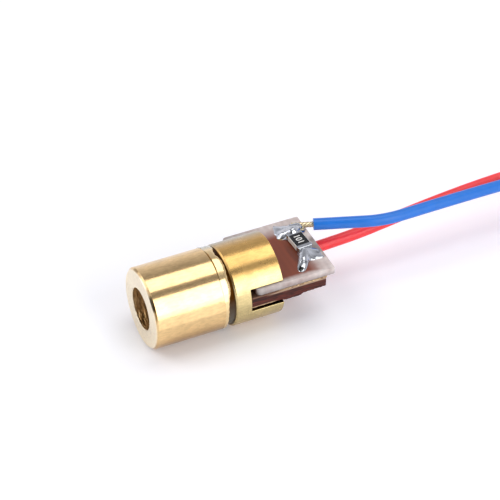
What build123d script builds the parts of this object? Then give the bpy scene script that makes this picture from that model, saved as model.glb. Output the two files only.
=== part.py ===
"""Laser diode module: a turned brass lens barrel on a slotted brass diode holder, with a small
circuit board in the slot and two loose leads.

Millimetres. +X is the way the beam leaves, +Z is up, and the module lies on the plane Z = 0.
The origin is under the middle of the module, leads apart.
"""
import math
import os

from build123d import *

# Brass barrel and holder
barrel_diameter = 6.5
barrel_length = 5.95
barrel_front_chamfer = 0.2
barrel_rear_chamfer = 0.3
aperture_diameter = 3.38
aperture_depth = 2.2
aperture_break = 0.1
barrel_wall = 0.95
seat_clearance = 0.03
neck_step = 0.25
neck_length = 0.6
holder_length = 4.0
holder_chamfer = 0.12
spigot_length = 1.9
light_bore_diameter = 3.0
slot_length = 2.75
slot_clearance = 0.04

# Lens and glue
lens_length = 1.4
lens_rim = 0.5
lens_recess = 0.15
lens_sag = 0.5
lens_draft = 0.2
lens_glue_width = 0.35
lens_glue_length = 0.3
joint_glue_height = 0.22
joint_glue_fall = 0.16
joint_glue_start = 0.0
joint_glue_arc = 150.0

# Board stack, from the slot's floor upwards
tongue_thickness = 0.4
chip_step = -0.05
tongue_width = 1.8
tongue_reach = 1.4
tongue_length = 7.2
backing_thickness = 0.75
backing_width = 6.7
backing_length = 6.32
foil_thickness = 0.13
foil_width = 6.86
board_thickness = 0.62
board_width = 6.8
board_overhang = 4.3
board_side = -0.27
bond_ledge = 0.47
board_corner = 0.35
front_gap = 0.05
hole_diameter = 0.45

# Laser chip
submount_length = 0.8
submount_width = 0.6
submount_thickness = 0.07
chip_length = 0.3
chip_width = 0.25
chip_thickness = 0.1
bond_wire_diameter = 0.05
bond_wire_rise = 0.35
bond_landing = 0.12

# Chip resistor and its pads
resistor_length = 2.0
resistor_width = 1.25
resistor_height = 0.5
resistor_turn = 3.0
resistor_setback = 1.335
resistor_offset = -0.22
terminal_length = 0.35
plating = 0.04
coat_thickness = 0.05
pad_thickness = 0.035
solder_crest = 0.42
solder_film = 0.05

# Leads
wire_diameter = 0.95
conductor_diameter = 0.45
blue_strip = 1.8
red_strip = 1.9
red_offset = -1.47
red_start = 0.115
red_solder_width = 0.5
red_solder_length = 1.3
tip_length = 2.5

# Hank of the put-away length
hank_x = -34.0
hank_y = 2.2
hank_run = 7.0
hank_inner_radius = 2.2
hank_outer_radius = 4.6
hank_height = 4.65
hank_step_height = 1.15
blue_fold_radius = 2.9
red_fold_radius = 3.9
lane_height = 4.15
tail_length = 2.0
tie_thickness = 0.25
tie_width = 2.0
tie_reach = 4.58
tie_near_height = 4.0
tie_far_height = 4.58
tie_corner = 0.66

# Places worked out from the sizes
axis_height = barrel_diameter / 2
module_length = barrel_length + neck_length + holder_length + board_overhang
front = module_length / 2
barrel_rear = front - barrel_length
holder_front = barrel_rear - neck_length
holder_rear = holder_front - holder_length
slot_front = holder_rear + slot_length
board_rear = -front
seat_diameter = barrel_diameter - 2 * barrel_wall
spigot_diameter = seat_diameter - 2 * seat_clearance
neck_diameter = barrel_diameter - 2 * neck_step

chip_seat = axis_height - chip_thickness / 2 - submount_thickness
tongue_top = chip_seat + chip_step
slot_floor = tongue_top - tongue_thickness
foil_bottom = tongue_top + backing_thickness
board_bottom = foil_bottom + foil_thickness
board_top = board_bottom + board_thickness
pad_top = board_top + pad_thickness

tongue_front = slot_front + tongue_reach
tongue_rear = tongue_front - tongue_length
backing_front = slot_front - front_gap
backing_rear = backing_front - backing_length
board_front = backing_front - bond_ledge
resistor_x = board_rear + resistor_setback
resistor_y = board_side + resistor_offset

# Outlines of the soldered pads, measured from the middle of the resistor
far_outline = [(0.5, -0.65), (1.22, -1.25), (0.93, -2.8), (0.35, -2.5), (-1.06, -1.55), (-0.5, -0.65)]
far_crest = [(0.45, -0.75), (0.75, -1.2), (0.55, -1.8), (0.3, -1.8), (-0.55, -1.35), (-0.45, -0.75)]
near_outline = [(0.5, 0.65), (0.7, 1.3), (1.45, 2.75), (0.98, 3.05), (0.0, 1.95), (-1.04, 2.05), (-0.5, 0.65)]
near_crest = [(0.45, 0.75), (0.5, 1.25), (0.95, 2.25), (0.75, 2.35), (0.0, 1.5), (-0.6, 1.5), (-0.45, 0.75)]
near_hole = (1.02, 2.6)

# Routes of the two leads, from the stripped end at the board to the hank
red_height = tongue_top - solder_film - conductor_diameter / 2
blue_height = pad_top + solder_film + conductor_diameter / 2
wire_radius = wire_diameter / 2
red_exit = backing_rear - red_start
hank_rear = hank_x - hank_run
blue_lane = hank_y - blue_fold_radius
red_lane = hank_y - red_fold_radius
red_tail_lane = hank_y + red_fold_radius
blue_route = [
    (-7.98, -1.89, blue_height),
    (-10.36, -1.05, blue_height),
    (-13.26, -0.11, 4.81),
    (-16.46, -0.22, 4.75),
    (-19.86, -0.3, 4.7),
    (-23.26, -0.41, 4.59),
    (-26.7, -0.5, 4.43),
    (-29.9, -0.62, 4.26),
    (-32.3, blue_lane, lane_height),
    (hank_x, blue_lane, lane_height),
]
red_route = [
    (red_exit, red_offset, red_height),
    (-9.26, red_offset - 0.08, red_height),
    (-12.06, -1.65, 2.87),
    (-15.06, -1.77, 3.19),
    (-18.26, -1.91, 3.47),
    (-21.66, -2.07, 3.65),
    (-25.06, -2.06, 3.85),
    (-28.6, -1.93, 4.02),
    (-32.0, red_lane, lane_height),
    (hank_x, red_lane, lane_height),
]


def turned(profile):
    """A solid turned about the optical axis, from (x, radius) points."""
    face = make_face(Plane.XZ * Polyline(*profile, close=True))
    return Pos(0, 0, axis_height) * revolve(face, Axis.X)


def block(x_front, x_rear, width, bottom, top):
    """A box between two places along X and two heights, centred across Y."""
    size = Box(x_front - x_rear, width, top - bottom)
    return Pos((x_front + x_rear) / 2, 0, (bottom + top) / 2) * size


def outline_face(points, height):
    """A flat face from points round the resistor, at a height."""
    placed = [(resistor_x + x, resistor_y + y, height) for x, y in points]
    return make_face(Polyline(*placed, close=True))


def rod(start, end, diameter):
    """A straight round bar between two points."""
    way = Vector(*end) - Vector(*start)
    plane = Plane(origin=start, z_dir=way)
    return extrude(plane * Circle(diameter / 2), way.length)


def bend_radii(points):
    """The largest arc that each corner's two runs allow."""
    radii = []
    for before, corner, after in zip(points, points[1:], points[2:]):
        run_in = Vector(*corner) - Vector(*before)
        run_out = Vector(*after) - Vector(*corner)
        half_turn = math.radians(run_in.get_angle(run_out)) / 2
        radii.append(0.45 * min(run_in.length, run_out.length) / math.tan(half_turn))
    return radii


def tube(name, points):
    """A round lead along straight runs joined by tangent arcs."""
    radii = bend_radii(points)
    path = FilletPolyline(*points, radius=radii)
    section = Plane(origin=path @ 0, z_dir=path % 0) * Circle(wire_radius)
    solid = sweep(section, path=path)
    full = math.pi * wire_radius**2 * path.length
    print(name, "radii", [round(r, 1) for r in radii], "length", round(path.length, 2))
    print(name, "volume over section times length", round(solid.volume / full, 4))
    return solid


# Lens barrel
def make_lens_barrel():
    outer = barrel_diameter / 2
    shoulder = front - aperture_depth
    return turned([
        (front, aperture_diameter / 2),
        (front, outer - barrel_front_chamfer),
        (front - barrel_front_chamfer, outer),
        (barrel_rear + barrel_rear_chamfer, outer),
        (barrel_rear, outer - barrel_rear_chamfer),
        (barrel_rear, seat_diameter / 2),
        (shoulder, seat_diameter / 2),
        (shoulder, aperture_diameter / 2 + aperture_break),
        (shoulder + aperture_break, aperture_diameter / 2),
    ])


# Moulded lens with a flat rim round a recessed dome, and its ring of glue
def make_collimating_lens():
    radius = seat_diameter / 2 - seat_clearance
    dome_radius = radius - lens_rim
    lens_front = front - aperture_depth
    lens_rear = lens_front - lens_length
    apex = lens_front - lens_recess
    rim = apex - lens_sag
    curve = (dome_radius**2 + lens_sag**2) / (2 * lens_sag)
    middle = (apex - curve + math.sqrt(curve**2 - (dome_radius / 2) ** 2), dome_radius / 2)
    edges = Polyline(
        (rim, dome_radius), (lens_front, dome_radius + lens_draft), (lens_front, radius),
        (lens_rear, radius), (lens_rear, 0), (apex, 0),
    )
    dome = ThreePointArc((apex, 0), middle, (rim, dome_radius))
    face = make_face(Plane.XZ * Curve([edges, dome]))
    return Pos(0, 0, axis_height) * revolve(face, Axis.X)


def make_lens_adhesive():
    lens_rear = front - aperture_depth - lens_length
    outer = seat_diameter / 2
    return turned([
        (lens_rear, outer - lens_glue_width),
        (lens_rear, outer),
        (lens_rear - lens_glue_length, outer),
    ])


# Slotted diode holder with its neck and spigot
def make_diode_holder():
    outer = barrel_diameter / 2
    spigot_front = barrel_rear + spigot_length
    body = turned([
        (spigot_front, light_bore_diameter / 2),
        (spigot_front, spigot_diameter / 2),
        (barrel_rear, spigot_diameter / 2),
        (barrel_rear, neck_diameter / 2),
        (holder_front, neck_diameter / 2),
        (holder_front, outer - holder_chamfer),
        (holder_front - holder_chamfer, outer),
        (holder_rear, outer),
        (holder_rear, 0),
        (slot_front, 0),
        (slot_front, light_bore_diameter / 2),
    ])
    slot_top = board_top + slot_clearance
    slot = block(slot_front, holder_rear - slot_length, 2 * barrel_diameter, slot_floor, slot_top)
    return body - slot


# Clear glue in the groove, round the upper part of the neck
def make_joint_adhesive():
    inner = neck_diameter / 2
    top = inner + joint_glue_height
    reach = barrel_rear + barrel_rear_chamfer
    face = make_face(Plane.XZ * Polyline(
        (reach, inner), (holder_front, inner),
        (holder_front, top - joint_glue_fall), (reach, top), close=True,
    ))
    ring = revolve(face, Axis.X, joint_glue_arc)
    placed = Pos(0, 0, axis_height) * Rot(joint_glue_start - 90, 0, 0) * ring
    return placed - make_lens_barrel() - make_diode_holder()


# Board stack
def make_heat_tongue():
    under_board = block(backing_front, tongue_rear, tongue_width, slot_floor, tongue_top)
    under_chip = block(tongue_front, backing_front, tongue_width, slot_floor, chip_seat)
    return under_board + under_chip


def make_backing_board():
    strip = block(backing_front, backing_rear, backing_width, tongue_top, foil_bottom)
    return Pos(0, board_side, 0) * strip


def make_bond_foil():
    return Pos(0, board_side, 0) * block(backing_front, backing_rear, foil_width, foil_bottom, board_bottom)


def make_circuit_board():
    board = block(board_front, board_rear, board_width, board_bottom, board_top)
    uprights = board.edges().filter_by(Axis.Z).group_by(Axis.X)[-1]
    board = fillet(uprights, board_corner)
    return Pos(0, board_side, 0) * board - hole_plug()


def hole_plug():
    """The column that fills the plated hole from the foil to the pad."""
    x, y = near_hole
    column = Cylinder(hole_diameter / 2, board_thickness)
    return Pos(resistor_x + x, resistor_y + y, (board_bottom + board_top) / 2) * column


def make_pad(outline):
    return extrude(outline_face(outline, board_top), pad_thickness, dir=(0, 0, 1))


# Laser chip on its submount, and the wire to the foil's ledge
def make_laser_submount():
    rear = tongue_front - submount_length
    return block(tongue_front, rear, submount_width, chip_seat, chip_seat + submount_thickness)


def make_laser_chip():
    bottom = chip_seat + submount_thickness
    return block(tongue_front, tongue_front - chip_length, chip_width, bottom, bottom + chip_thickness)


def make_bond_wire():
    chip_x = tongue_front - chip_length / 2
    chip_top = chip_seat + submount_thickness + chip_thickness
    landing_x = backing_front - bond_landing
    loop_top = board_bottom + bond_wire_rise
    path = FilletPolyline(
        (chip_x, 0, chip_top), (chip_x, 0, loop_top), (landing_x, 0, loop_top), (landing_x, 0, board_bottom),
        radius=bond_wire_rise / 2,
    )
    section = Pos(chip_x, 0, chip_top) * Circle(bond_wire_diameter / 2)
    return sweep(section, path=path)


# Chip resistor
def on_resistor(shape, lift):
    """Turns and moves a shape from the middle of the resistor's base to its place."""
    return Pos(resistor_x, resistor_y, pad_top + lift) * Rot(0, 0, resistor_turn) * shape


def make_resistor_body():
    core = Box(resistor_width, resistor_length - 2 * plating, resistor_height - 2 * plating)
    return on_resistor(core, resistor_height / 2)


def make_resistor_terminals():
    end = Box(resistor_width, terminal_length, resistor_height)
    shift = (resistor_length - terminal_length) / 2
    ends = Pos(0, shift, 0) * end + Pos(0, -shift, 0) * end
    return on_resistor(ends, resistor_height / 2) - make_resistor_body()


def make_resistor_coat():
    coat = Box(resistor_width, resistor_length - 2 * terminal_length, coat_thickness)
    return on_resistor(coat, resistor_height - plating + coat_thickness / 2)


# Solder
def solder_mound(outline, crest):
    """A fillet that rises from a pad's outline to a crest at the resistor's end."""
    base = outline_face(outline, pad_top)
    top = outline_face(crest, pad_top + solder_crest)
    envelope = Box(resistor_width, resistor_length, resistor_height)
    return loft([base, top], ruled=True) - on_resistor(envelope, resistor_height / 2)


def make_far_solder():
    return solder_mound(far_outline, far_crest) - make_conductor(blue_route, blue_strip)


def make_near_solder():
    x, y = near_hole
    neck = Cylinder(hole_diameter / 2, pad_thickness)
    through_pad = Pos(resistor_x + x, resistor_y + y, board_top + pad_thickness / 2) * neck
    return solder_mound(near_outline, near_crest) + through_pad + hole_plug()


def make_near_pad():
    return make_pad(near_outline) - make_near_solder()


def make_red_solder():
    middle = red_exit + red_strip - red_solder_length / 2
    edge = -tongue_width / 2
    profile = make_face(Polyline(
        (edge, tongue_top), (edge, slot_floor), (red_offset, slot_floor),
        (edge - 2 * red_solder_width, tongue_top), close=True,
    ))
    bar = extrude(Plane.YZ * profile, red_solder_length)
    return Pos(middle - red_solder_length / 2, 0, 0) * bar - make_conductor(red_route, red_strip)


# Stripped ends at the board
def make_conductor(route, strip):
    start = Vector(*route[0])
    inward = (start - Vector(*route[1])).normalized()
    return rod(tuple(start), tuple(start + inward * strip), conductor_diameter)


# Leads, hank, tie and tips
def hank_outline(radius):
    """The hank's plan: two half circles joined by straight runs."""
    return Pos(hank_x - hank_run / 2, hank_y) * SlotCenterToCenter(hank_run, 2 * radius)


def tie_bar(margin):
    """What the tie holds: a bar with round corners across the hank, drawn in by a margin."""
    corners = make_face(Polyline(
        (-tie_reach, 0), (tie_reach, 0), (tie_reach, tie_near_height), (-tie_reach, tie_far_height), close=True,
    ))
    face = fillet(corners.vertices(), tie_corner)
    if margin:
        face = offset(face, amount=-margin)
    bar = extrude(Plane.YZ * face, tie_width / 2, both=True)
    return Pos(hank_x - hank_run / 2, hank_y, 0) * bar


def make_lead_tie():
    """A band round the hank's waist."""
    return tie_bar(0) - tie_bar(tie_thickness)


def make_tail(start, lane, way):
    """A lead's free end on the floor, straight out of the hank, towards +X or -X."""
    end = start + way * tail_length
    return rod((start, lane, wire_radius), (end, lane, wire_radius), wire_diameter)


def make_tip(start, lane, way):
    """The stripped and tinned end of a tail."""
    bare = start + way * tail_length
    end = bare + way * tip_length
    return rod((bare, lane, wire_radius), (end, lane, wire_radius), conductor_diameter)


def make_lead_hank():
    """The long ring, with a step at the top where the leads come on and two below where they leave."""
    ring = extrude(hank_outline(hank_outer_radius) - hank_outline(hank_inner_radius), hank_height)
    reach = 2 * hank_outer_radius
    step = Box(reach, reach, hank_step_height, align=(Align.MIN, Align.MAX, Align.MIN))
    upper = Pos(hank_x, hank_y, hank_height - hank_step_height) * step
    blue_below = Pos(hank_rear - reach, hank_y, 0) * step
    red_below = Pos(hank_x, hank_y + reach, 0) * step
    waist = Pos(hank_x - hank_run / 2, hank_y, 0) * Box(tie_width, 2 * reach, 2 * reach)
    return ring - upper - blue_below - red_below - (waist - tie_bar(tie_thickness))


def build():
    """Every piece of the module by its name."""
    return {
        "lens_barrel": make_lens_barrel(),
        "collimating_lens": make_collimating_lens(),
        "lens_adhesive": make_lens_adhesive(),
        "diode_holder": make_diode_holder(),
        "joint_adhesive": make_joint_adhesive(),
        "heat_tongue": make_heat_tongue(),
        "backing_board": make_backing_board(),
        "bond_foil": make_bond_foil(),
        "circuit_board": make_circuit_board(),
        "far_pad": make_pad(far_outline),
        "near_pad": make_near_pad(),
        "resistor_body": make_resistor_body(),
        "resistor_terminals": make_resistor_terminals(),
        "resistor_coat": make_resistor_coat(),
        "far_solder": make_far_solder(),
        "near_solder": make_near_solder(),
        "laser_submount": make_laser_submount(),
        "laser_chip": make_laser_chip(),
        "bond_wire": make_bond_wire(),
        "blue_conductor": make_conductor(blue_route, blue_strip),
        "red_conductor": make_conductor(red_route, red_strip),
        "red_solder": make_red_solder(),
        "blue_wire": tube("blue_wire", blue_route),
        "red_wire": tube("red_wire", red_route),
        "lead_hank": make_lead_hank(),
        "lead_tie": make_lead_tie(),
        "blue_tail": make_tail(hank_rear, blue_lane, -1),
        "red_tail": make_tail(hank_x, red_tail_lane, 1),
        "blue_tip": make_tip(hank_rear, blue_lane, -1),
        "red_tip": make_tip(hank_x, red_tail_lane, 1),
    }


os.makedirs("parts", exist_ok=True)
for node, shape in build().items():
    shape.label = node
    export_step(shape, f"parts/{node}.step")
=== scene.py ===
"""Looks of the laser diode module, laid out as a Blender add-on and run as a script.

Metres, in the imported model's own frame: +X is the way the beam leaves, +Z is up, and the module
lies on the plane Z = 0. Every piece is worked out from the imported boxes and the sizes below.
"""
import math

import bmesh
import bpy
import numpy as np
from bpy.props import FloatProperty, FloatVectorProperty, IntProperty, PointerProperty
from mathutils import Matrix, Vector


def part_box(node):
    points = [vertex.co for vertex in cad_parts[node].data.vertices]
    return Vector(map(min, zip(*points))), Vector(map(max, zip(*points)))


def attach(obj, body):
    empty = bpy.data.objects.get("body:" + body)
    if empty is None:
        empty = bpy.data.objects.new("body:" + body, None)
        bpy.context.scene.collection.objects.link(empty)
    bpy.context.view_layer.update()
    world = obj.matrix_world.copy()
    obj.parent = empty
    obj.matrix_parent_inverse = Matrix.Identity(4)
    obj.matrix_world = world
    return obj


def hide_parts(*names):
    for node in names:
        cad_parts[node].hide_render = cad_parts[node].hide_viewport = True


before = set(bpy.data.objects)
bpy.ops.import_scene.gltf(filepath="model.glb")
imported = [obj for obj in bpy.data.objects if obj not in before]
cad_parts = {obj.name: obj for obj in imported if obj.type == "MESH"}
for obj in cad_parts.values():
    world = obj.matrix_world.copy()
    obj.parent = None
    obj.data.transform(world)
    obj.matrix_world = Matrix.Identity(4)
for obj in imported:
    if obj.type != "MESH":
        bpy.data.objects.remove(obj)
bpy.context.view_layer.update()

bl_info = {
    "name": "Laser diode module",
    "version": (1, 0, 0),
    "blender": (4, 5, 0),
    "location": "View3D > Sidebar > Laser module",
    "description": "Builds the finished surfaces of a small brass laser diode module",
    "category": "Add Mesh",
}

MM = 0.001


def linear(code):
    """Linear red, green and blue of an sRGB hex code."""
    part = np.array([int(code[i:i + 2], 16) for i in (0, 2, 4)]) / 255
    return tuple(np.where(part <= 0.04045, part / 12.92, ((part + 0.055) / 1.055) ** 2.4).tolist())


def length(name, description, size):
    """A property that holds a length, given in millimetres."""
    return FloatProperty(name=name, description=description, default=size * MM, unit="LENGTH", precision=5)


def colour(name, description, code):
    """A property that holds a colour, given as an sRGB hex code."""
    return FloatVectorProperty(
        name=name, description=description, default=linear(code), subtype="COLOR", size=3, min=0, max=1,
    )


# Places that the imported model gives
barrel_low, barrel_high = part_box("lens_barrel")
holder_low, holder_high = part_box("diode_holder")
lens_low, lens_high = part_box("collimating_lens")
board_low, board_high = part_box("circuit_board")
backing_low, backing_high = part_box("backing_board")
foil_low, foil_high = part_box("bond_foil")
tongue_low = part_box("heat_tongue")[0]
coat_low, coat_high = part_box("resistor_coat")
body_low, body_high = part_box("resistor_body")
terminals_low, terminals_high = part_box("resistor_terminals")
tie_low, tie_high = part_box("lead_tie")

axis_height = (barrel_low.z + barrel_high.z) / 2
barrel_radius = (barrel_high.z - barrel_low.z) / 2
front, barrel_rear = barrel_high.x, barrel_low.x
spigot_front, holder_rear = holder_high.x, holder_low.x
resistor_place = (body_low + body_high) / 2


class BrassSizes(bpy.types.PropertyGroup):
    """Sizes of the turned brass barrel and holder."""
    edge: length("Edge", "Radius that the polish leaves on every turned edge", 0.04)
    front_chamfer: length("Front chamfer", "Chamfer round the front face", 0.2)
    rear_chamfer: length("Rear chamfer", "Chamfer at the barrel's rear", 0.3)
    aperture_radius: length("Aperture radius", "Radius of the hole in the front face", 1.69)
    aperture_depth: length("Aperture depth", "Depth of that hole", 2.2)
    aperture_break: length("Aperture break", "Broken edge at the hole's inner end", 0.1)
    seat_radius: length("Seat radius", "Radius of the lens seat", 2.3)
    spigot_radius: length("Spigot radius", "Radius of the holder's spigot in that seat", 2.27)
    neck_radius: length("Neck radius", "Radius of the groove between barrel and holder", 3.0)
    neck_length: length("Neck length", "Length of that groove", 0.6)
    holder_chamfer: length("Holder chamfer", "Chamfer at the holder's front", 0.12)
    light_bore: length("Light bore", "Radius of the bore in front of the laser chip", 1.5)
    slot_gap: length("Slot gap", "Clearance between the slot and the board's top and front", 0.045)
    segments: IntProperty(name="Segments", description="Steps round a turned surface", default=256, min=64)


class BoardSizes(bpy.types.PropertyGroup):
    """Sizes of the board, the chip resistor and the solder."""
    edge: length("Edge", "Radius of the board's worn edges", 0.06)
    corner: length("Corner", "Radius of the board's front corners", 0.35)
    foil_edge: length("Foil edge", "Radius of the foil's edge", 0.03)
    chip_edge: length("Chip edge", "Radius of the resistor's edges", 0.035)
    chip_length: length("Chip length", "Length of the resistor over its terminals", 2.0)
    chip_width: length("Chip width", "Width of the resistor", 1.25)
    terminal: length("Terminal", "Length of each plated end", 0.35)
    plating: length("Plating", "Thickness of that plating", 0.04)
    glaze_margin: length("Glaze margin", "Bare ceramic beside the black glaze", 0.06)
    chip_turn: FloatProperty(
        name="Chip turn", description="How far the resistor sits askew", default=math.radians(3),
        subtype="ANGLE",
    )
    digit_height: length("Digit height", "Height of the printed digits", 0.52)


class LeadSizes(bpy.types.PropertyGroup):
    """Sizes of the two leads and their hank."""
    diameter: length("Diameter", "Outer diameter of the insulation", 0.95)
    conductor: length("Conductor", "Diameter of the stranded conductor", 0.45)
    blue_radius: length("Blue folds", "Radius of the blue lead's folds", 2.9)
    red_radius: length("Red folds", "Radius of the red lead's folds", 3.9)
    pitch: length("Pitch", "Height of one turn of the hank above the next", 1.2)
    tail: length("Tail", "Length of each free end beyond the hank's straight run", 2.0)
    tip: length("Tip", "Length of each stripped tip", 2.5)
    tape: length("Tape", "Thickness of the tie's tape", 0.16)


class ModuleColours(bpy.types.PropertyGroup):
    """Colours of the finishes."""
    barrel: colour("Barrel", "Polished brass of the barrel", "e6c38d")
    # Painted reflection: this paler colour stands in for the bright floor seen in the front face
    face: colour("Front face", "Freshly faced brass of the front", "fbebcb")
    holder: colour("Holder", "Rubbed brass of the holder", "cda665")
    # A greyer colour laid over the holder's far upper side
    flux: colour("Flux", "Dried flux on the holder's far upper side", "b0a48d")
    laminate: colour("Laminate", "Board over the dark backing", "7f3b1f")
    laminate_edge: colour("Laminate edge", "Board where light gets in from its edges", "d2c7c1")
    backing: colour("Backing", "Phenolic paper strip", "45190f")
    gold: colour("Gold", "Gold flash of foil and bond wire", "ecd0a0")
    copper: colour("Copper", "Bare rolled copper", "e09a78")
    solder: colour("Solder", "Bright tin solder", "bfc1c4")
    ceramic: colour("Ceramic", "White alumina", "e9e6df")
    glaze: colour("Glaze", "Black glaze on the resistor", "0c0d0d")
    blue: colour("Blue", "Blue lead", "1073d4")
    red: colour("Red", "Red lead", "ff353a")


class ModuleSettings(bpy.types.PropertyGroup):
    """All values of the module."""
    brass: PointerProperty(type=BrassSizes)
    board: PointerProperty(type=BoardSizes)
    leads: PointerProperty(type=LeadSizes)
    colours: PointerProperty(type=ModuleColours)


# Surfaces
def rounded(corners, radius, steps=6):
    """A closed outline with each corner rounded, and the direction out of each arc's centre.

    The arc's centre lies on the corner's bisector, at radius / sin(half angle). The arc turns evenly
    from one edge's foot to the other's, and one more point on each edge holds the flat beside it.
    """
    corners = np.asarray(corners, float)
    radius = np.broadcast_to(np.asarray(radius, float), len(corners))[:, None]
    back = np.roll(corners, 1, axis=0) - corners
    ahead = np.roll(corners, -1, axis=0) - corners
    back /= np.linalg.norm(back, axis=1, keepdims=True)
    ahead /= np.linalg.norm(ahead, axis=1, keepdims=True)
    angle = np.arccos(np.clip((back * ahead).sum(1, keepdims=True), -1, 1))
    bisector = back + ahead
    bisector /= np.linalg.norm(bisector, axis=1, keepdims=True)
    centre = corners + bisector * radius / np.sin(angle / 2)
    reach = radius / np.tan(angle / 2)
    first = (corners + back * reach - centre) / radius
    last = (corners + ahead * reach - centre) / radius
    turn = (math.pi - angle)[:, :, None]
    share = np.linspace(0, 1, steps + 1)[None, :, None]
    ways = (np.sin((1 - share) * turn) * first[:, None] + np.sin(share * turn) * last[:, None]) / np.sin(turn)
    arc = centre[:, None] + radius[:, :, None] * ways
    hold = 0.4 * radius
    before = (corners + back * (reach + hold))[:, None]
    after = (corners + ahead * (reach + hold))[:, None]
    points = np.concatenate([before, arc, after], axis=1).reshape(-1, 2)
    ways = np.concatenate([first[:, None], ways, last[:, None]], axis=1).reshape(-1, 2)
    return points, ways


def turned(profile, segments):
    """A surface turned about the optical axis: x is kept, and the radius goes round by an even angle."""
    angle = np.linspace(0, 2 * math.pi, segments, endpoint=False)
    x, radius = profile[:, :1], profile[:, 1:]
    return np.stack([x + 0 * angle, radius * np.cos(angle), axis_height + radius * np.sin(angle)], axis=-1)


def capped(rows, middles=None):
    """Rows of points with both ends closed on a middle, which is the end row's own where none is given."""
    if middles is None:
        middles = rows[[0, -1]].mean(axis=1)
    first, last = (np.broadcast_to(np.asarray(middle, float), rows[:1].shape) for middle in middles)
    return np.concatenate([first, rows, last])


def block_outline(low, high, radius):
    """A rectangle between two corners in plan, with rounded corners."""
    return rounded([(low[0], low[1]), (high[0], low[1]), (high[0], high[1]), (low[0], high[1])], radius)


def slab(outline, ways, bottom, top, edge, steps=5):
    """A flat block: an outline carried up from bottom to top, drawn in along a quarter circle at both rims.

    Row by row the outline moves in by edge * (1 - sin t) while the height rises by edge * (1 - cos t).
    Both flat ends close on the outline's middle.
    """
    t = np.linspace(0, math.pi / 2, steps + 1)
    hold = 0.4 * edge
    inset = np.concatenate([[edge + hold], edge * (1 - np.sin(t)), [0]])
    rise = np.concatenate([[0], edge * (1 - np.cos(t)), [edge + hold]])
    inset = np.concatenate([inset, inset[::-1]])[:, None, None]
    height = np.concatenate([bottom + rise, top - rise[::-1]])[:, None, None]
    ring = outline[None] - inset * ways[None]
    rows = np.concatenate([ring, height + 0 * ring[..., :1]], axis=-1)
    return capped(rows, [(*outline.mean(axis=0), z) for z in (bottom, top)])


def turned_in_plan(points, angle):
    """Plan points turned by an angle about the origin."""
    cosine, sine = math.cos(angle), math.sin(angle)
    return points @ np.array([[cosine, sine], [-sine, cosine]])


def round_segment(radius, chord, edge, front_x, rear_x, flip, steps=5, corner_steps=9, arc_steps=121):
    """A length of round bar cut flat along a chord, with every edge rounded.

    Its section is the bar's arc and the chord, joined by edge arcs that touch both. Towards the rear
    the section draws in by edge * (1 - cos t) while x moves on by edge * sin t. Both ends close on the
    section's middle. Flip turns the upper segment into the lower one.
    """
    side = math.sqrt((radius - edge) ** 2 - (chord + edge) ** 2)
    foot = math.atan2(chord + edge, side)
    corner = np.linspace(-math.pi / 2, foot, corner_steps)
    over = np.linspace(foot, math.pi - foot, arc_steps)
    angle = np.concatenate([corner, over, math.pi - corner[::-1]])
    counts = [corner_steps, arc_steps, corner_steps]
    size = np.repeat([edge, radius, edge], counts)
    centre_y = np.repeat([side, 0, -side], counts)
    centre_z = np.repeat([chord + edge, 0, chord + edge], counts)
    t = np.linspace(0, math.pi / 2, steps + 1)
    hold = 0.4 * edge
    inset = np.concatenate([[0, 0], edge * (1 - np.cos(t)), [edge + 0.5 * hold]])[:, None]
    x = np.concatenate([[front_x, rear_x + edge + hold], rear_x + edge * (1 - np.sin(t)), [rear_x]])[:, None]
    y = centre_y + (size - inset) * np.cos(angle)
    z = centre_z + (size - inset) * np.sin(angle)
    middle = (chord + radius) / 2
    solid = capped(np.stack([x + 0 * y, y, z], axis=-1), [(front_x, 0, middle), (rear_x, 0, middle)])
    solid[..., 2] = axis_height + flip * solid[..., 2]
    return solid


def stranded(start, end, radius, strands=7, lay=2.2 * MM, steps=90, around=84):
    """Twisted strands between two points.

    The section is a rosette, radius * (0.8 + 0.2 * |cos|) with one lobe for each strand, and it turns
    once in every lay along the way. Both ends draw in along a root to a point.
    """
    way = end - start
    size = np.linalg.norm(way)
    way = way / size
    side = np.cross(way, [0, 0, 1])
    side /= np.linalg.norm(side)
    rise = np.cross(side, way)
    along = np.linspace(0, size, steps)[:, None]
    angle = np.linspace(0, 2 * math.pi, around, endpoint=False)[None, :]
    lobe = np.abs(np.cos(strands * (angle - 2 * math.pi * along / lay) / 2))
    ends = np.sqrt(np.clip(np.minimum(along, size - along) / (0.3 * radius), 0, 1))
    reach = radius * (0.8 + 0.2 * lobe) * ends
    return (start + along[..., None] * way + (reach * np.cos(angle))[..., None] * side
            + (reach * np.sin(angle))[..., None] * rise)


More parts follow.
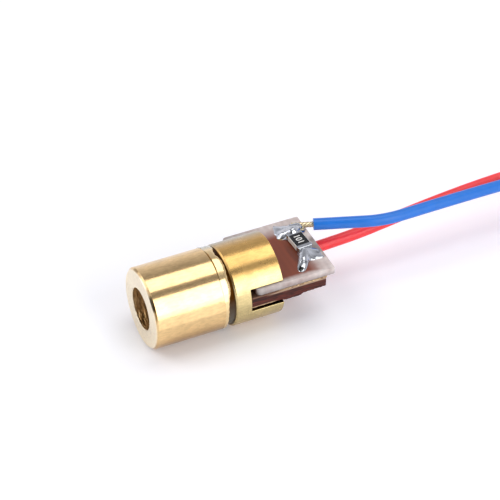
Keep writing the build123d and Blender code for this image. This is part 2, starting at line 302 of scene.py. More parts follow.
def mound(outline, centre, base, bumps, floor_height, seed, around=240, rings=48):
    """A puddle of solder over an outline in plan.

    A ray from the centre meets the outline at a distance that is smoothed over the angle. Inside it the
    height is base plus Gaussian bumps, times a round shoulder (1 - share^3)^0.6 that falls to the rim,
    with a faint ripple. The underside is flat.
    """
    outline = np.asarray(outline, float) - centre
    ahead = np.roll(outline, -1, axis=0) - outline
    angle = np.linspace(0, 2 * math.pi, around, endpoint=False)
    ray = np.stack([np.cos(angle), np.sin(angle)], axis=-1)[:, None]
    cross = ray[..., 0] * ahead[:, 1] - ray[..., 1] * ahead[:, 0]
    cross = np.where(np.abs(cross) < 1e-12, 1e-12, cross)
    distance = (outline[:, 0] * ahead[:, 1] - outline[:, 1] * ahead[:, 0]) / cross
    along = (outline[:, 0] * ray[..., 1] - outline[:, 1] * ray[..., 0]) / cross
    meets = (along >= 0) & (along <= 1) & (distance > 0)
    reach = np.where(meets, distance, np.inf).min(axis=1)
    half_window, softness = 9, 3.2
    window = np.exp(-0.5 * (np.arange(-half_window, half_window + 1) / softness) ** 2)
    wrapped = np.concatenate([reach[-half_window:], reach, reach[:half_window]])
    reach = np.convolve(wrapped, window / window.sum(), "valid")
    wobble = 1 + 0.03 * np.sin(5 * angle + seed) + 0.02 * np.sin(11 * angle + 2 * seed)
    share = np.linspace(0, 1, rings)[:, None]
    plan = centre + (share * reach * wobble)[..., None] * ray[:, 0]
    x, y = plan[..., 0], plan[..., 1]
    lift = base + 0 * x
    for bump_x, bump_y, height, spread in bumps:
        lift = lift + height * np.exp(-((x - bump_x) ** 2 + (y - bump_y) ** 2) / (2 * spread ** 2))
    ripple = 0.0012 * MM * np.sin(x / (0.13 * MM) + seed) * np.sin(y / (0.17 * MM))
    lift = (np.maximum(lift, 0.02 * MM) + ripple) * (1 - share ** 3) ** 0.6
    top = np.concatenate([plan, floor_height + lift[..., None]], axis=-1)
    under = np.concatenate([plan, np.full_like(plan[..., :1], floor_height)], axis=-1)
    return np.concatenate([top, under[::-1]])


def grid_faces(rows, columns, rows_close):
    """Quads between neighbouring rows, which may close on themselves, and columns, which always do."""
    i = np.arange(rows if rows_close else rows - 1)[:, None]
    j = np.arange(columns)[None, :]
    i_next, j_next = (i + 1) % rows, (j + 1) % columns
    corners = [i * columns + j, i_next * columns + j, i_next * columns + j_next, i * columns + j_next]
    return np.stack(corners, axis=-1).reshape(-1, 4)


def make_piece(name, grids, material, nodes=(), rows_close=False, sharp=40):
    """One object from grids of points: doubled points merged, faces outwards, hard edges shaded sharp."""
    faces, points, count = [], [], 0
    for grid in grids:
        faces.append(grid_faces(*grid.shape[:2], rows_close) + count)
        points.append(grid.reshape(-1, 3))
        count += len(points[-1])
    mesh = bpy.data.meshes.new(name)
    mesh.from_pydata(np.concatenate(points).tolist(), [], np.concatenate(faces).tolist())
    shape = bmesh.new()
    shape.from_mesh(mesh)
    bmesh.ops.remove_doubles(shape, verts=shape.verts, dist=1e-5 * MM)
    bmesh.ops.recalc_face_normals(shape, faces=shape.faces)
    shape.to_mesh(mesh)
    shape.free()
    mesh.polygons.foreach_set("use_smooth", np.ones(len(mesh.polygons), bool))
    mesh.set_sharp_from_angle(angle=math.radians(sharp))
    mesh.materials.append(material)
    return place_piece(bpy.data.objects.new(name, mesh), nodes)


def place_piece(piece, nodes=()):
    """Puts a finished piece in the scene, on the one body, in place of its CAD nodes."""
    bpy.context.scene.collection.objects.link(piece)
    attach(piece, "root")
    if nodes:
        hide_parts(*nodes)
    return piece


def dress_node(node, material):
    """Gives a CAD node that stays in view its finish."""
    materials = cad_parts[node].data.materials
    materials.clear()
    materials.append(material)


# Materials
def add(tree, kind, *inputs, **named):
    """Adds one node and fills its sockets: those in use in order, then those that are named.

    A name with a capital is a socket, with _ for a space, and any other is one of the node's settings.
    An input is a number, a vector, a colour as a hex code or linear values, a socket, or a node, which
    stands for its first output in use.
    """
    node = tree.nodes.new("ShaderNode" + kind)
    for name in filter(str.islower, named):
        setattr(node, name, named[name])
    filled = list(zip((socket for socket in node.inputs if socket.enabled), inputs))
    filled += [(node.inputs[name.replace("_", " ")], named[name]) for name in named if not name.islower()]
    for socket, value in filled:
        if isinstance(value, bpy.types.Node):
            value = next(output for output in value.outputs if output.enabled)
        if isinstance(value, bpy.types.NodeSocket):
            tree.links.new(value, socket)
        elif socket.type == "RGBA":
            socket.default_value = (*(linear(value) if isinstance(value, str) else value), 1.0)
        else:
            socket.default_value = value
    return node


def new_material(name):
    """An empty node material and its tree."""
    material = bpy.data.materials.new(name)
    material.use_nodes = True
    material.node_tree.nodes.clear()
    return material, material.node_tree


def grains(*sizes):
    """Pattern scales that give grains of these sizes, in millimetres along X, Y and Z."""
    return [1 / (size * MM) for size in sizes]


def turned_brass(name, base, zones, roughness, groove=None):
    """Turned and polished brass: a clear warm mirror, drawn out along the axis by fine turning rings.

    The rings are drawn 0.09 mm apart, coarser than real ones so that they show, and a shallow chatter
    0.3 mm across breaks up the mirror's edges. Fine streaks of tarnish along the axis show where the
    mirror is dark. Each zone is a colour and the ranges along X, Y and Z, in millimetres, over which it
    comes in. The bore is rougher, with torn drill marks that are deepest at its bottom, and the groove
    is dull, where no polish reaches.
    """
    material, tree = new_material(name)
    place = add(tree, "TexCoord").outputs["Object"]
    parts = add(tree, "SeparateXYZ", place).outputs
    metal = base
    for shade, ranges in zones:
        share = 1.0
        for axis, start, end in ranges:
            step = add(tree, "MapRange", parts[axis], start * MM, end * MM)
            share = add(tree, "Math", step, share, operation="MULTIPLY")
        metal = add(tree, "Mix", share, metal, shade, data_type="RGBA")
    cloud = add(tree, "TexNoise", place, Scale=1 / (1.6 * MM), Detail=4.0)
    film = add(tree, "MapRange", cloud, 0.35, 0.75, 1.0, 0.86)
    streaks = add(tree, "Mapping", place, Scale=grains(0.45, 0.16, 0.16))
    speckle = add(tree, "TexNoise", streaks, Scale=1.0, Detail=2.0)
    tarnish = add(tree, "MapRange", speckle, 0.38, 0.66, 1.05, 0.92)
    veil = add(tree, "Math", film, tarnish, operation="MULTIPLY")
    tint = add(tree, "Mix", 1.0, metal, veil, data_type="RGBA", blend_type="MULTIPLY")
    polish = add(tree, "MapRange", cloud, 0.3, 0.7, 0.85 * roughness, 1.2 * roughness)
    section = add(tree, "Mapping", place, Location=(0, 0, -axis_height), Scale=(0, 1, 1))
    reach = add(tree, "VectorMath", section, operation="LENGTH")
    bored = add(tree, "MapRange", reach, 1.72 * MM, 1.76 * MM, 1, 0)
    dull = bored
    if groove is not None:
        dull = add(tree, "MapRange", parts["X"], groove - 0.02 * MM, groove + 0.02 * MM)
    gloss = add(tree, "Mix", dull, polish, 0.42, data_type="FLOAT")
    rings = add(tree, "Mapping", place, Scale=grains(0.09, 6, 6))
    grain = add(tree, "TexNoise", rings, Scale=1.0, Detail=3.0)
    chatter = add(tree, "TexNoise", place, Scale=1 / (0.3 * MM), Detail=3.0)
    drill = add(tree, "Mapping", place, Scale=grains(0.35, 0.8, 0.8))
    torn = add(tree, "TexNoise", drill, Scale=1.0, Detail=3.0)
    deep = add(tree, "MapRange", parts["Z"], axis_height - 0.9 * MM, axis_height - 1.4 * MM, 1.0, 3.0)
    depth = add(tree, "Math", deep, bored, operation="MULTIPLY")
    marks = add(tree, "Math", torn, depth, operation="MULTIPLY")
    bump = add(tree, "Bump", Strength=0.25, Distance=0.004 * MM, Height=grain)
    bump = add(tree, "Bump", Strength=0.7, Distance=0.12 * MM, Height=marks, Normal=bump)
    bump = add(tree, "Bump", Strength=0.42, Distance=0.007 * MM, Height=chatter, Normal=bump)
    shader = add(tree, "BsdfPrincipled", Base_Color=tint, Metallic=1.0, Roughness=gloss, Normal=bump)
    add(tree, "OutputMaterial", shader)
    return material


def plain_metal(name, base, roughness, grain_mm, relief_mm):
    """Bare sheet or plated metal: one colour with soft blotches and a fine uneven skin."""
    material, tree = new_material(name)
    place = add(tree, "TexCoord").outputs["Object"]
    skin = add(tree, "TexNoise", place, Scale=1 / (grain_mm * MM), Detail=4.0)
    shade = add(tree, "MapRange", skin, 0.3, 0.7, 0.82, 1.0)
    tint = add(tree, "Mix", 1.0, base, shade, data_type="RGBA", blend_type="MULTIPLY")
    bump = add(tree, "Bump", Strength=0.4, Distance=relief_mm * MM, Height=skin)
    shader = add(tree, "BsdfPrincipled", Base_Color=tint, Metallic=1.0, Roughness=roughness, Normal=bump)
    add(tree, "OutputMaterial", shader)
    return material


def tin_solder(base):
    """Hand-flowed tin solder: a bright mirror with dull grey freckles of flux about 0.15 mm across.

    At the tip of the near joint's tongue a ragged patch is coloured near black.
    """
    material, tree = new_material("Tin solder, reflowed")
    place = add(tree, "TexCoord").outputs["Object"]
    freckle = add(tree, "TexNoise", place, Scale=1 / (0.3 * MM), Detail=3.0)
    crust = add(tree, "MapRange", freckle, 0.6, 0.7)
    tint = add(tree, "Mix", crust, base, "6d6f74", data_type="RGBA")
    # A ragged patch near the tip of the near joint's tongue, coloured near black
    black_spot_middle = (resistor_place.x + 1.16 * MM, resistor_place.y + 2.76 * MM, board_high.z + 0.15 * MM)
    away = add(tree, "VectorMath", place, black_spot_middle, operation="DISTANCE")
    flakes = add(tree, "TexNoise", place, Scale=1 / (0.16 * MM), Detail=2.0)
    ragged = add(tree, "Math", flakes, 0.5 * MM, away, operation="MULTIPLY_ADD")
    black_spot = add(tree, "MapRange", ragged, 0.52 * MM, 0.44 * MM)
    dark = add(tree, "Mix", black_spot, tint, "262724", data_type="RGBA")
    polish = add(tree, "MapRange", crust, 0, 1, 0.14, 0.34)
    shader = add(tree, "BsdfPrincipled", Base_Color=dark, Metallic=1.0, Roughness=polish)
    add(tree, "OutputMaterial", shader)
    return material


def clear_resin(name, base, roughness, ior):
    """Clear cast or moulded resin: colourless, smooth and see-through, with a faint haze."""
    material, tree = new_material(name)
    place = add(tree, "TexCoord").outputs["Object"]
    haze = add(tree, "TexNoise", place, Scale=1 / (0.8 * MM))
    polish = add(tree, "MapRange", haze, 0.3, 0.7, roughness, 2 * roughness)
    shader = add(tree, "BsdfPrincipled", Base_Color=base, Roughness=polish, IOR=ior, Transmission_Weight=0.9)
    add(tree, "OutputMaterial", shader)
    return material


def wet_adhesive(base, haze):
    """Clear glue wiped thinly over brass: the metal shows through it, wet and a little uneven.

    At the far side of the top it is thicker and hazy grey.
    """
    material, tree = new_material("Clear adhesive, cured on brass")
    place = add(tree, "TexCoord").outputs["Object"]
    y = add(tree, "SeparateXYZ", place).outputs["Y"]
    lump = add(tree, "TexNoise", place, Scale=1 / (0.45 * MM), Detail=2.0)
    thick = add(tree, "MapRange", y, -0.8 * MM, -1.5 * MM)
    tint = add(tree, "Mix", thick, base, haze, data_type="RGBA")
    metal = add(tree, "MapRange", thick, 0, 1, 0.85, 0.15)
    bump = add(tree, "Bump", Strength=0.3, Distance=0.02 * MM, Height=lump)
    shader = add(tree, "BsdfPrincipled", Base_Color=tint, Metallic=metal, Roughness=0.16, Coat_Weight=0.6,
                 Coat_Roughness=0.05, Normal=bump)
    add(tree, "OutputMaterial", shader)
    return material


def glass_laminate(base, pale):
    """Unmasked glass laminate: brown where the backing shows through, pale where light comes in at the edges.

    The pale margin is about 0.4 mm wide at the near side and wider at the far side and the rear, and it
    is dimmer towards the holder. The sawn side darkens downwards in painted shade, and the cloth's 0.5 mm
    weave shows faintly. Two ragged patches darken it behind the resistor and along its front.
    """
    material, tree = new_material("Glass laminate, unmasked")
    place = add(tree, "TexCoord").outputs["Object"]
    x, y, z = add(tree, "SeparateXYZ", place).outputs
    cloud = add(tree, "TexNoise", place, Scale=1 / (0.9 * MM), Detail=4.0)
    edges = 0.0
    # Where each pale margin begins and where it is full: near, far and rear
    for margin in (
        (y, board_high.y - 0.6 * MM, board_high.y - 0.1 * MM),
        (y, board_low.y + 1.9 * MM, board_low.y + 0.4 * MM),
        (x, board_low.x + 2.0 * MM, board_low.x + 0.5 * MM),
    ):
        step = add(tree, "MapRange", *margin, interpolation_type="SMOOTHSTEP")
        edges = add(tree, "Math", step, edges, operation="MAXIMUM")
    uneven = add(tree, "MapRange", cloud, 0.3, 0.7, 0.6, 1.1)
    light = add(tree, "Math", edges, uneven, operation="MULTIPLY", use_clamp=True)
    clear = add(tree, "MapRange", x, board_high.x, board_high.x - 4.2 * MM)
    pale = np.array(pale)
    edge = add(tree, "Mix", clear, 0.7 * pale, np.clip(1.1 * pale, 0, 1), data_type="RGBA")
    tint = add(tree, "Mix", light, base, edge, data_type="RGBA")
    # A wave texture repeats 20 / (2 pi) times in one unit of its scale
    weave = add(tree, "TexWave", place, Scale=2 * math.pi / (20 * 0.5 * MM), Distortion=0.6,
                bands_direction="X")
    cloth = add(tree, "MapRange", weave.outputs[1], 0, 1, 0.93, 1.0)
    # Painted shade: the sawn side darkens towards its bottom edge
    sawn = add(tree, "MapRange", z, board_low.z, board_low.z + 0.45 * MM, 0.55, 1.0)
    shade = add(tree, "Math", cloth, sawn, operation="MULTIPLY")
    # Each dark patch's middle and half width along X and Y from the resistor, in millimetres, and how dark it
    # is
    for along, across, long, wide, dark in ((-1.2, 0.75, 0.45, 1.3, 0.5), (0.95, 1.0, 0.35, 1.5, 0.72)):
        middle = (resistor_place.x + along * MM, resistor_place.y + across * MM)
        dark_patch_place = add(tree, "Mapping", place, Scale=(1 / (long * MM), 1 / (wide * MM), 0),
                    Location=(-middle[0] / (long * MM), -middle[1] / (wide * MM), 0))
        spread = add(tree, "VectorMath", dark_patch_place, operation="LENGTH")
        ragged = add(tree, "Math", cloud, 1.2, spread, operation="MULTIPLY_ADD")
        # Each patch darkens the board towards its middle, by its given factor
        flux = add(tree, "MapRange", ragged, 1.2, 1.7, dark, 1.0)
        shade = add(tree, "Math", shade, flux, operation="MULTIPLY")
    woven = add(tree, "Mix", 1.0, tint, shade, data_type="RGBA", blend_type="MULTIPLY")
    bump = add(tree, "Bump", Strength=0.35, Distance=0.01 * MM, Height=cloud)
    shader = add(tree, "BsdfPrincipled", Base_Color=woven, Roughness=0.32, IOR=1.5, Normal=bump)
    add(tree, "OutputMaterial", shader)
    return material


def gold_flash(base, worn):
    """Thin gold flash on copper foil: pale gold, rubbed dull and brown in 0.5 mm patches at its cut edge.

    Towards the front, in the holder's slot, it is dull all over.
    """
    material, tree = new_material("Gold flash on copper")
    place = add(tree, "TexCoord").outputs["Object"]
    x = add(tree, "SeparateXYZ", place).outputs["X"]
    patch = add(tree, "Mapping", place, Scale=grains(0.5, 0.3, 0.2))
    rub = add(tree, "TexNoise", patch, Scale=1.0, Detail=4.0)
    rubbed = add(tree, "MapRange", rub, 0.46, 0.66)
    inside = add(tree, "MapRange", x, -4.6 * MM, -2.4 * MM)
    dull = add(tree, "Math", rubbed, inside, operation="MAXIMUM")
    tint = add(tree, "Mix", dull, base, worn, data_type="RGBA")
    polish = add(tree, "MapRange", dull, 0, 1, 0.3, 0.6)
    bump = add(tree, "Bump", Strength=0.5, Distance=0.01 * MM, Height=rub)
    shader = add(tree, "BsdfPrincipled", Base_Color=tint, Metallic=0.8, Roughness=polish, Normal=bump)
    add(tree, "OutputMaterial", shader)
    return material


def phenolic_paper(base):
    """Sawn phenolic paper: dark red-brown, with paler and darker saw streaks 0.12 mm apart along the cut.

    Behind the holder the cut is torn along its upper edge, and a tan stripe of bare paper shows. In the
    slot a painted highlight runs along the lower edge.
    """
    material, tree = new_material("Phenolic paper, sawn")
    place = add(tree, "TexCoord").outputs["Object"]
    x, _, z = add(tree, "SeparateXYZ", place).outputs
    streak = add(tree, "Mapping", place, Scale=grains(0.9, 0.9, 0.12))
    cut = add(tree, "TexNoise", streak, Scale=1.0, Detail=4.0)
    depth = add(tree, "MapRange", cut, 0.35, 0.68)
    base = np.array(base)
    tint = add(tree, "Mix", depth, 0.3 * base, np.clip(1.9 * base, 0, 1), data_type="RGBA")
    # Colours of the torn edge and of the painted highlight along the lower edge, and where each comes in
    # along Z and along X
    for shade, up, along in (
        ("b0937a", (backing_high.z - 0.2 * MM, backing_high.z - 0.12 * MM), (-1.6 * MM, -2.4 * MM)),
        ("bd9d78", (backing_low.z - 0.07 * MM, backing_low.z - 0.1 * MM), (-2.6 * MM, -2.2 * MM)),
    ):
        rise, reach = add(tree, "MapRange", z, *up), add(tree, "MapRange", x, *along)
        share = add(tree, "Math", rise, reach, operation="MULTIPLY")
        tint = add(tree, "Mix", share, tint, shade, data_type="RGBA")
    bump = add(tree, "Bump", Strength=0.6, Distance=0.02 * MM, Height=cut)
    shader = add(tree, "BsdfPrincipled", Base_Color=tint, Roughness=0.62, Specular_IOR_Level=0.3, Normal=bump)
    add(tree, "OutputMaterial", shader)
    return material


def plain_coat(name, base, roughness, grain_mm, contrast):
    """A fired, printed or extruded coat: one colour, a little uneven, with a soft gloss."""
    material, tree = new_material(name)
    place = add(tree, "TexCoord").outputs["Object"]
    grain = add(tree, "TexNoise", place, Scale=1 / (grain_mm * MM), Detail=3.0)
    shade = add(tree, "MapRange", grain, 0.3, 0.7, 1 - contrast, 1.0)
    tint = add(tree, "Mix", 1.0, base, shade, data_type="RGBA", blend_type="MULTIPLY")
    gloss = add(tree, "MapRange", grain, 0.3, 0.7, 0.9 * roughness, 1.15 * roughness)
    bump = add(tree, "Bump", Strength=0.15, Distance=0.01 * MM, Height=grain)
    shader = add(tree, "BsdfPrincipled", Base_Color=tint, Roughness=gloss, Normal=bump)
    add(tree, "OutputMaterial", shader)
    return material


def values(context):
    """The module's settings."""
    return context.scene.laser_module


class MODULE_OT_lens_barrel(bpy.types.Operator):
    """Turned barrel with its lens"""
    bl_idname = "module.lens_barrel"
    bl_label = "Lens barrel"

    def execute(self, context):
        size, colours = values(context).brass, values(context).colours
        shoulder = front - size.aperture_depth
        outer, hole = barrel_radius, size.aperture_radius
        profile, _ = rounded([
            (front, hole),
            (front, outer - size.front_chamfer),
            (front - size.front_chamfer, outer),
            (barrel_rear + size.rear_chamfer, outer),
            (barrel_rear, outer - size.rear_chamfer),
            (barrel_rear, size.seat_radius),
            (shoulder, size.seat_radius),
            (shoulder, hole + size.aperture_break),
            (shoulder + size.aperture_break, hole),
        ], size.edge)
        face, rear_edge = front / MM, (barrel_rear + size.rear_chamfer) / MM
        slope = [("X", face - 0.21, face - 0.17), ("X", face - 0.03, face - 0.07)]
        line = [("X", rear_edge - 0.05, rear_edge - 0.02), ("X", rear_edge + 0.05, rear_edge + 0.02)]
        # Painted reflections: the darker underside for the shaded floor below it, two dark spans of the front
        # chamfer, a dark line at the rear chamfer's edge, and the paler front face for the bright floor it
        # faces
        brass = turned_brass("Brass, turned and polished", colours.barrel, [
            ("b9935f", [("Z", 2.6, 1.3)]),
            ("9c7a48", slope + [("Y", 2.25, 2.4), ("Y", 3.05, 2.9), ("Z", 3.6, 3.8)]),
            ("a88a5c", slope + [("Y", -0.55, -0.75), ("Y", -1.55, -1.35), ("Z", 4.0, 4.5)]),
            ("8f7745", line + [("Z", 4.4, 5.0)]),
            (colours.face, [("X", face - 0.09, face - 0.02)]),
        ], roughness=0.16)
        make_piece("turned_lens_barrel", [turned(profile, size.segments)], brass,
                   ["lens_barrel"], rows_close=True)
        acrylic = clear_resin("Acrylic, moulded", "f6f2e8", roughness=0.03, ior=1.49)
        make_piece("moulded_lens", [turned(self.lens_profile(), size.segments // 2)], acrylic,
                   ["collimating_lens"])
        dress_node("lens_adhesive", clear_resin("Lens adhesive, cured", "f4efe2", roughness=0.06, ior=1.5))
        return {"FINISHED"}

    def lens_profile(self):
        """From the front dome's top, over its sunk edge, the flat rim and the flat back, to the axis."""
        radius = (lens_high.z - lens_low.z) / 2
        recess, sag, rim, draft = 0.15 * MM, 0.5 * MM, 0.5 * MM, 0.2 * MM
        dome = radius - rim
        curve = (dome ** 2 + sag ** 2) / (2 * sag)
        reach = np.linspace(0, dome, 24)
        front_x = lens_high.x - recess - curve + np.sqrt(curve ** 2 - reach ** 2)
        flat = [(lens_high.x, dome + draft), (lens_high.x, radius), (lens_low.x, radius), (lens_low.x, 0)]
        return np.concatenate([np.stack([front_x, reach], axis=-1), flat])


class MODULE_OT_diode_holder(bpy.types.Operator):
    """Slotted holder behind the barrel"""
    bl_idname = "module.diode_holder"
    bl_label = "Diode holder"

    def execute(self, context):
        size, colours = values(context).brass, values(context).colours
        outer, crisp = barrel_radius, 0.001 * MM
        holder_front = barrel_rear - size.neck_length
        slot_front = backing_high.x + size.slot_gap
        profile, _ = rounded([
            (spigot_front, size.light_bore),
            (spigot_front, size.spigot_radius),
            (barrel_rear, size.spigot_radius),
            (barrel_rear, size.neck_radius),
            (holder_front, size.neck_radius),
            (holder_front, outer - size.holder_chamfer),
            (holder_front - size.holder_chamfer, outer),
            (slot_front, outer),
            (slot_front, size.light_bore),
        ], [size.edge] * 7 + [crisp, size.edge])
        start, floor = slot_front / MM, tongue_low.z / MM
        groove = ("X", holder_front / MM - 0.02, holder_front / MM + 0.02)
        # Painted reflection on the near side and the upper side, a greyer colour at the far top, and painted
        # shade on the slot's floor and in the groove, greyer towards the groove's underside
        brass = turned_brass("Brass, turned and rubbed", colours.holder, [
            ("cfbb87", [("Y", 2.1, 2.6)]),
            ("e0b36c", [("Y", 1.0, 0.4)]),
            (colours.flux, [("Y", -0.35, -1.7), ("Z", 4.3, 4.9)]),
            ("4a3413", [
                ("X", start, start - 0.05), ("Y", 3.12, 3.04),
                ("Z", floor - 0.08, floor - 0.03), ("Z", floor + 0.08, floor + 0.03)]),
            ("3f2306", [groove]),
            ("6e675a", [groove, ("Z", 4.2, 2.2)]),
        ], roughness=0.26, groove=holder_front)
        make_piece("turned_holder_body", [turned(profile, size.segments)], brass,
                   ["diode_holder"], rows_close=True)
        upper, lower = board_high.z + size.slot_gap - axis_height, axis_height - tongue_low.z
        make_piece("holder_jaws", [
            round_segment(outer, chord, size.edge, slot_front, holder_rear, flip)
            for chord, flip in ((upper, 1), (lower, -1))
        ], brass, ["diode_holder"])
        return {"FINISHED"}


class MODULE_OT_joint_adhesive(bpy.types.Operator):
    """Bead of clear glue in the groove"""
    bl_idname = "module.joint_adhesive"
    bl_label = "Joint adhesive"

    # How far the bead reaches over the groove, in millimetres, by the angle up from the near side in degrees
    reach_angles = [-60, -10, 0, 10, 20, 30, 40, 50, 60, 70, 80, 90, 100, 110, 125, 150]
    reach_sizes = [0.02, 0.02, 0.03, 0.06, 0.16, 0.36, 0.44, 0.4, 0.48, 0.54, 0.5, 0.3, 0.35, 0.56, 0.58, 0.3]

    def execute(self, context):
        bead = self.bead(values(context).brass)
        resin = wet_adhesive("e6c790", "b4b4aa")
        make_piece("joint_glue_bead", [bead], resin, ["joint_adhesive"], sharp=70)
        return {"FINISHED"}

    def bead(self, size):
        """A rounded wedge carried round the groove.

        It starts on the barrel's rear chamfer, runs level and falls in a steep shoulder to the neck. How far
        it reaches over the groove follows a list by angle, with small sines on both its edges, and near the
        top it leaves the chamfer's upper edge bare.
        """
        degrees = np.linspace(self.reach_angles[0], self.reach_angles[-1], 240)[:, None]
        turn = np.radians(degrees)
        reach = MM * np.interp(degrees, self.reach_angles, self.reach_sizes)
        bare_angle, bare_spread = 78, 22
        bare = 0.09 * MM * np.exp(-((degrees - bare_angle) / bare_spread) ** 4)
        ragged = 0.012 * MM * (1 + np.sin(13 * turn) * np.sin(29 * turn + 1))
        start = barrel_rear + size.rear_chamfer - bare + ragged
        end = barrel_rear - reach - 0.015 * MM * np.sin(43 * turn)
        share = np.sin(np.linspace(0, math.pi / 2, 24))[None, :]
        swell = 0.008 * MM * np.sin(9 * turn) + 0.005 * MM * np.sin(21 * turn + 2)
        x = start + (end - start) * share
        top = barrel_radius + 0.012 * MM + swell
        radius = size.neck_radius + (top - size.neck_radius) * np.sqrt(1 - share ** 7)
        inner = np.full_like(radius, size.neck_radius - 0.06 * MM)
        x, radius = np.concatenate([x, x[:, ::-1]], axis=1), np.concatenate([radius, inner], axis=1)
        return capped(np.stack([x, radius * np.cos(turn), axis_height + radius * np.sin(turn)], axis=-1))


class MODULE_OT_board_stack(bpy.types.Operator):
    """Board, foil and backing strip, and the copper tongue below"""
    bl_idname = "module.board_stack"
    bl_label = "Board stack"

    # Places along X and how far the strip's lip hangs there below its underside, in millimetres
    lip_places = [-6.7, -4.75, -4.55, -3.2, -2.9, -0.7]
    lip_depths = [0.14, 0.18, 0.34, 0.34, 0.2, 0.2]

    def execute(self, context):
        size, colours = values(context).board, values(context).colours
        corners = [2 * size.edge, size.corner, size.corner, 2 * size.edge]
        board = slab(*block_outline(board_low, board_high, corners), board_low.z, board_high.z, size.edge)
        laminate = glass_laminate(colours.laminate, colours.laminate_edge)
        make_piece("laminate_board", [board], laminate, ["circuit_board"])
        outline = block_outline(foil_low, foil_high, 2 * size.foil_edge)
        foil = slab(*outline, foil_low.z, foil_high.z, size.foil_edge)
        make_piece("gold_bond_foil", [foil], gold_flash(colours.gold, "80604e"), ["bond_foil"])
        make_piece("phenolic_strip", [self.backing_strip(size)], phenolic_paper(colours.backing),
                   ["backing_board"])
        copper = plain_metal("Copper, rolled", colours.copper, roughness=0.3, grain_mm=0.4, relief_mm=0.006)
        dress_node("heat_tongue", copper)
        return {"FINISHED"}

    def backing_strip(self, size):
        """The strip as a flat block with a torn lip hanging from its near lower edge.

        Each of the block's sides gets evenly spaced points. Towards the near side the lower rows sink by a
        depth that follows a list along X, with the product of two sines for the torn paper. A ring at six
        tenths of the way out keeps the rest of the underside flat.
        """
        outline, ways = block_outline(backing_low, backing_high, 2 * size.edge)
        corners, normals = outline.reshape(4, -1, 2), ways.reshape(4, -1, 2)
        share = np.linspace(0, 1, 122)[None, 1:-1, None]
        sides = (1 - share) * corners[:, -1:] + share * np.roll(corners, -1, axis=0)[:, :1]
        outline = np.concatenate([corners, sides], axis=1).reshape(-1, 2)
        ways = np.concatenate([normals, normals[:, -1:] + 0 * sides], axis=1).reshape(-1, 2)
        rows = slab(outline, ways, backing_low.z, backing_high.z, size.edge)
        rows = np.concatenate([rows[:1], 0.4 * rows[:1] + 0.6 * rows[1:2], rows[1:]])
        # The lower rim is the eight rows after the underside's middle and that ring
        lower_rim = rows[2:10]
        x, y = lower_rim[..., 0] / MM, lower_rim[..., 1] / MM
        depth = np.interp(x, self.lip_places, self.lip_depths) + 0.02 * np.sin(x / 0.07) * np.sin(x / 0.19)
        toward = np.clip((y - backing_high.y / MM) / 0.9 + 1.3, 0, 1)
        lower_rim[..., 2] -= MM * depth * toward ** 2 * (3 - 2 * toward)
        return rows


class MODULE_OT_laser_chip(bpy.types.Operator):
    """Finishes of the laser chip, its submount and bond wire"""
    bl_idname = "module.laser_chip"
    bl_label = "Laser chip"

    def execute(self, context):
        colours = values(context).colours
        gold = plain_metal("Gold, plated", colours.gold, roughness=0.2, grain_mm=0.05, relief_mm=0.001)
        dress_node("laser_submount", gold)
        dress_node("bond_wire", gold)
        crystal = plain_coat("Laser crystal, cleaved", "4a4c52", roughness=0.2, grain_mm=0.05, contrast=0.2)
        dress_node("laser_chip", crystal)
        return {"FINISHED"}


class MODULE_OT_chip_resistor(bpy.types.Operator):
    """Chip resistor with its plated ends and plain digits"""
    bl_idname = "module.chip_resistor"
    bl_label = "Chip resistor"

    # How far the plated ends stand out at the sides, and how far the glaze laps over ends and ceramic
    side_step, lap = 0.01 * MM, 0.05 * MM
    # Size of the font over the height of its digits, how bold the strokes are, and the ink's half thickness
    font_share, bold, ink = 1.38, 0.012 * MM, 0.004 * MM

    def execute(self, context):
        size, colours = values(context).board, values(context).colours
        half_width, half_length = size.chip_width / 2, size.chip_length / 2
        inner, core = half_length - size.terminal, half_length - size.plating
        ceramic = plain_coat("Alumina, fired", colours.ceramic, roughness=0.45, grain_mm=0.08, contrast=0.08)
        solder = tin_solder(colours.solder)
        glaze = plain_coat("Black glaze, fired", colours.glaze, roughness=0.22, grain_mm=0.2, contrast=0.2)
        body = self.chip_block(size, half_width - self.side_step, -core, core, body_low.z, body_high.z)
        make_piece("ceramic_chip", [body], ceramic, ["resistor_body"])
        ends = [self.chip_block(size, half_width, low, high, terminals_low.z, terminals_high.z)
                for low, high in ((inner, half_length), (-half_length, -inner))]
        make_piece("plated_terminals", ends, solder, ["resistor_terminals"])
        coat = self.chip_block(size, half_width - size.glaze_margin, -inner - self.lap, inner + self.lap,
                               coat_low.z - self.lap, coat_high.z)
        make_piece("glaze_coat", [coat], glaze, ["resistor_coat"])
        self.digits(size)
        return {"FINISHED"}

    def chip_block(self, size, half_width, low, high, bottom, top):
        """A rounded block across the resistor, turned with it."""
        outline, ways = block_outline((-half_width, low), (half_width, high), 2 * size.chip_edge)
        edge = min(size.chip_edge, 0.4 * (top - bottom))
        placed = turned_in_plan(outline, size.chip_turn) + np.array(resistor_place[:2])
        return slab(placed, turned_in_plan(ways, size.chip_turn), bottom, top, edge)

    def digits(self, size):
        """Plain digits, made a mesh and laid on the glaze along the resistor."""
        text = bpy.data.curves.new("chip_digits", "FONT")
        text.body = "101"
        text.size = size.digit_height * self.font_share
        text.align_x, text.align_y = "CENTER", "CENTER"
        text.offset, text.extrude = self.bold, self.ink
        pattern = bpy.data.objects.new("chip_digits_pattern", text)
        bpy.context.scene.collection.objects.link(pattern)
        mesh = bpy.data.meshes.new_from_object(pattern)
        bpy.data.objects.remove(pattern)
        lift = Matrix.Translation((resistor_place.x, resistor_place.y, coat_high.z + self.ink / 2))
        mesh.transform(lift @ Matrix.Rotation(size.chip_turn - math.pi / 2, 4, "Z"))
        mesh.name = "chip_digits"
        mesh.materials.clear()
        white_ink = plain_coat("White ink, printed", "eceae4", roughness=0.5, grain_mm=0.06, contrast=0.1)
        mesh.materials.append(white_ink)
        place_piece(bpy.data.objects.new("chip_digits", mesh))


